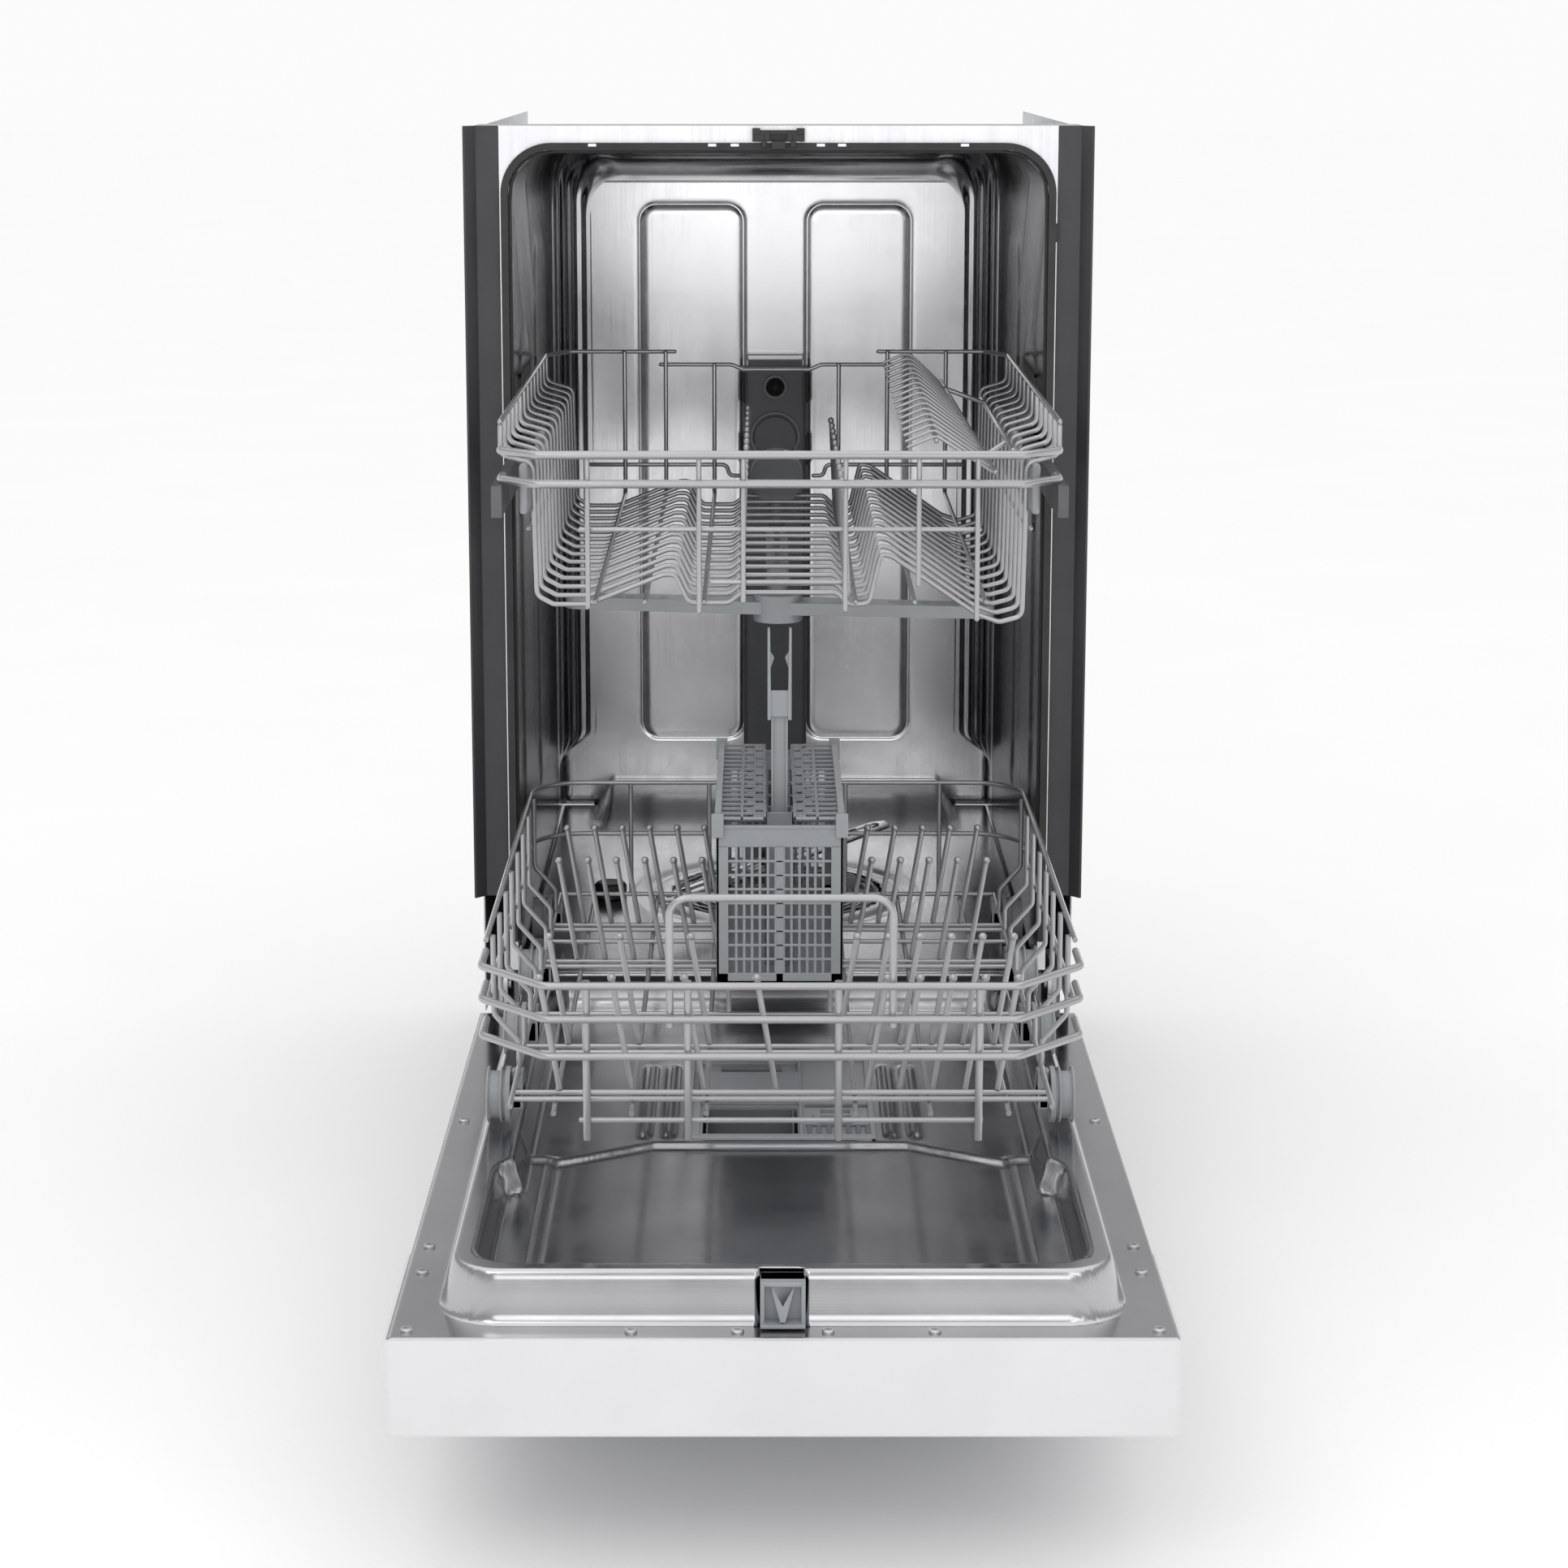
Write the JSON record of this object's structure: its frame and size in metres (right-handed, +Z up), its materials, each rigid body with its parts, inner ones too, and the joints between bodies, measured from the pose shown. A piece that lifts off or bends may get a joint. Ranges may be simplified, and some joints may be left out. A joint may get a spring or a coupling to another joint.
{
  "type": "built-in dishwasher",
  "caption": "Slim built-in dishwasher, door open and racks drawn out: steel tub, drop door, wheeled wire racks, cutlery basket and spray arms.",
  "frame": {"origin": "on the floor, midway across the width, in the plane of the tub's front flange", "axes": "+X to the right of someone facing the door, +Y into the cabinet, +Z up"},
  "size_m": [0.448, 1.197, 0.815],
  "materials": {
    "stainless": "satin",
    "flange_steel": "bright",
    "trim_black": "satin",
    "galvanised": "dull zinc",
    "rubber": "matte",
    "bitumen": "matte",
    "black_plastic": "satin",
    "duct_plastic": "satin",
    "white_panel": "gloss",
    "grey_plastic": "satin",
    "rack_wire": "satin coating",
    "motor": "cast",
    "white_plastic": "matte"
  },
  "bodies": {
    "cabinet": {"tub_left_side": "stainless", "tub_right_side": "stainless", "tub_roof": "stainless", "tub_back": "stainless", "tub_floor": "stainless", "front_flange": "flange_steel", "tub_gasket": "rubber", "side_trims": "trim_black", "side_panels": "galvanised", "insulation_mats": "bitumen", "top_brace": "galvanised", "door_catch": "black_plastic", "water_duct": "duct_plastic", "roller_pins": "stainless", "sump": "duct_plastic", "coarse_filter": "stainless", "base_frame": "duct_plastic", "levelling_feet": "black_plastic", "toe_kick": "black_plastic", "wash_pump": "motor", "drain_pump": "motor", "drain_outlet": "grey_plastic", "inlet_valve": "white_plastic", "hinge_brackets": "galvanised", "door_springs": "galvanised"},
    "door": {"hinge_arms": "galvanised", "inner_liner": "stainless", "latch_striker": "grey_plastic", "outer_panel": "galvanised", "control_panel": "white_panel", "liner_screws": "galvanised", "dispenser_housing": "grey_plastic"},
    "lower_rack": {"lower_rack_floor": "rack_wire", "lower_rack_walls": "rack_wire", "lower_rack_tines": "rack_wire", "lower_wheel_axles": "grey_plastic", "cutlery_basket": "grey_plastic"},
    "upper_rack": {"upper_rack_floor": "rack_wire", "upper_rack_walls": "rack_wire", "rack_rails": "galvanised", "feed_pipe": "grey_plastic"},
    "upper_rollers_front": {"upper_rollers_front": "grey_plastic"},
    "upper_rollers_rear": {"upper_rollers_rear": "grey_plastic"},
    "filter_cup": {"filter_cup": "grey_plastic"},
    "float_cap": {"float_cap": "black_plastic"},
    "lower_spray_arm": {"lower_spray_arm": "stainless"},
    "dispenser_lid": {"dispenser_lid": "grey_plastic"},
    "rinse_aid_cap": {"rinse_aid_cap": "grey_plastic"},
    "power_button": {"power_button": "white_panel"},
    "program_button": {"program_button": "white_panel"},
    "start_button": {"start_button": "white_panel"},
    "lower_wheels_1": {"lower_wheels_1": "grey_plastic"},
    "lower_wheels_2": {"lower_wheels_2": "grey_plastic"},
    "lower_wheels_3": {"lower_wheels_3": "grey_plastic"},
    "lower_wheels_4": {"lower_wheels_4": "grey_plastic"},
    "basket_handle": {"basket_handle": "grey_plastic"},
    "basket_lid_left": {"basket_lid_left": "grey_plastic"},
    "basket_lid_right": {"basket_lid_right": "grey_plastic"},
    "cup_shelf": {"cup_shelf": "rack_wire"},
    "upper_spray_arm": {"upper_spray_arm": "grey_plastic"}
  },
  "joints": [
    {"name": "door_hinge", "type": "hinge", "parent": "cabinet", "child": "door", "pos_m": [0, 0.0095, 0.1815], "axis": [-1, 0, 0], "range_deg": [0, 0.5]},
    {"name": "lower_rack_slide", "type": "slide", "parent": "cabinet", "child": "lower_rack", "axis": [0, 1, 0], "range_m": [0, 0.42]},
    {"name": "upper_rack_slide", "type": "slide", "parent": "cabinet", "child": "upper_rack", "axis": [0, 1, 0], "range_m": [0, 0.237]},
    {"name": "basket_handle_slide", "type": "slide", "parent": "lower_rack", "child": "basket_handle", "axis": [0, 0, 1], "range_m": [-0.0926, 0]},
    {"name": "basket_lid_left_hinge", "type": "hinge", "parent": "lower_rack", "child": "basket_lid_left", "pos_m": [-0.041, 0, 0.37], "axis": [0, -1, 0], "range_deg": [0, 110]},
    {"name": "basket_lid_right_hinge", "type": "hinge", "parent": "lower_rack", "child": "basket_lid_right", "pos_m": [0.041, 0, 0.37], "axis": [0, 1, 0], "range_deg": [0, 110]},
    {"name": "cup_shelf_fold", "type": "hinge", "parent": "upper_rack", "child": "cup_shelf", "pos_m": [0.158, 0, 0.602], "axis": [0, 1, 0], "range_deg": [-32, 50]},
    {"name": "upper_arm_spin", "type": "hinge", "parent": "upper_rack", "child": "upper_spray_arm", "pos_m": [0, 0.04, 0.463], "axis": [0, 0, 1], "continuous": true},
    {"name": "lower_arm_spin", "type": "hinge", "parent": "cabinet", "child": "lower_spray_arm", "pos_m": [0, 0.231, 0.218], "axis": [0, 0, 1], "continuous": true},
    {"name": "filter_cup_turn", "type": "hinge", "parent": "cabinet", "child": "filter_cup", "pos_m": [0.046, 0.262, 0.19], "axis": [0, 0, 1], "range_deg": [0, 60]},
    {"name": "float_lift", "type": "slide", "parent": "cabinet", "child": "float_cap", "axis": [0, 0, 1], "range_m": [0, 0.006]},
    {"name": "dispenser_lid_slide", "type": "slide", "parent": "door", "child": "dispenser_lid", "axis": [0, -1, 0], "range_m": [0, 0.062]},
    {"name": "rinse_aid_cap_turn", "type": "hinge", "parent": "door", "child": "rinse_aid_cap", "pos_m": [0.037, -0.267, 0.17], "axis": [0, 0, 1], "range_deg": [0, 90]},
    {"name": "power_button_press", "type": "slide", "parent": "door", "child": "power_button", "axis": [0, 0, 1], "range_m": [0, 0.002], "stiffness_N_per_m": 400},
    {"name": "program_button_press", "type": "slide", "parent": "door", "child": "program_button", "axis": [0, 0, 1], "range_m": [0, 0.002], "stiffness_N_per_m": 400},
    {"name": "start_button_press", "type": "slide", "parent": "door", "child": "start_button", "axis": [0, 0, 1], "range_m": [0, 0.002], "stiffness_N_per_m": 400},
    {"name": "lower_wheels_1_roll", "type": "hinge", "parent": "lower_rack", "child": "lower_wheels_1", "pos_m": [0, -0.344, 0.212], "axis": [1, 0, 0], "continuous": true},
    {"name": "lower_wheels_2_roll", "type": "hinge", "parent": "lower_rack", "child": "lower_wheels_2", "pos_m": [0, -0.203, 0.212], "axis": [1, 0, 0], "continuous": true},
    {"name": "lower_wheels_3_roll", "type": "hinge", "parent": "lower_rack", "child": "lower_wheels_3", "pos_m": [0, -0.061, 0.212], "axis": [1, 0, 0], "continuous": true},
    {"name": "lower_wheels_4_roll", "type": "hinge", "parent": "lower_rack", "child": "lower_wheels_4", "pos_m": [0, 0.08, 0.212], "axis": [1, 0, 0], "continuous": true},
    {"name": "upper_rollers_front_roll", "type": "hinge", "parent": "cabinet", "child": "upper_rollers_front", "pos_m": [0, 0.032, 0.577], "axis": [1, 0, 0], "continuous": true},
    {"name": "upper_rollers_rear_roll", "type": "hinge", "parent": "cabinet", "child": "upper_rollers_rear", "pos_m": [0, 0.096, 0.577], "axis": [1, 0, 0], "continuous": true}
  ],
  "couplings": [
    {"joint": "basket_handle_slide", "follows": "lower_rack_slide", "ratio": -0.22},
    {"joint": "lower_wheels_1_roll", "follows": "lower_rack_slide", "rad_per_m": -55.556},
    {"joint": "lower_wheels_2_roll", "follows": "lower_rack_slide", "rad_per_m": -55.556},
    {"joint": "lower_wheels_3_roll", "follows": "lower_rack_slide", "rad_per_m": -55.556},
    {"joint": "lower_wheels_4_roll", "follows": "lower_rack_slide", "rad_per_m": -55.556},
    {"joint": "upper_rollers_front_roll", "follows": "upper_rack_slide", "rad_per_m": -111.11},
    {"joint": "upper_rollers_rear_roll", "follows": "upper_rack_slide", "rad_per_m": -111.11}
  ]
}
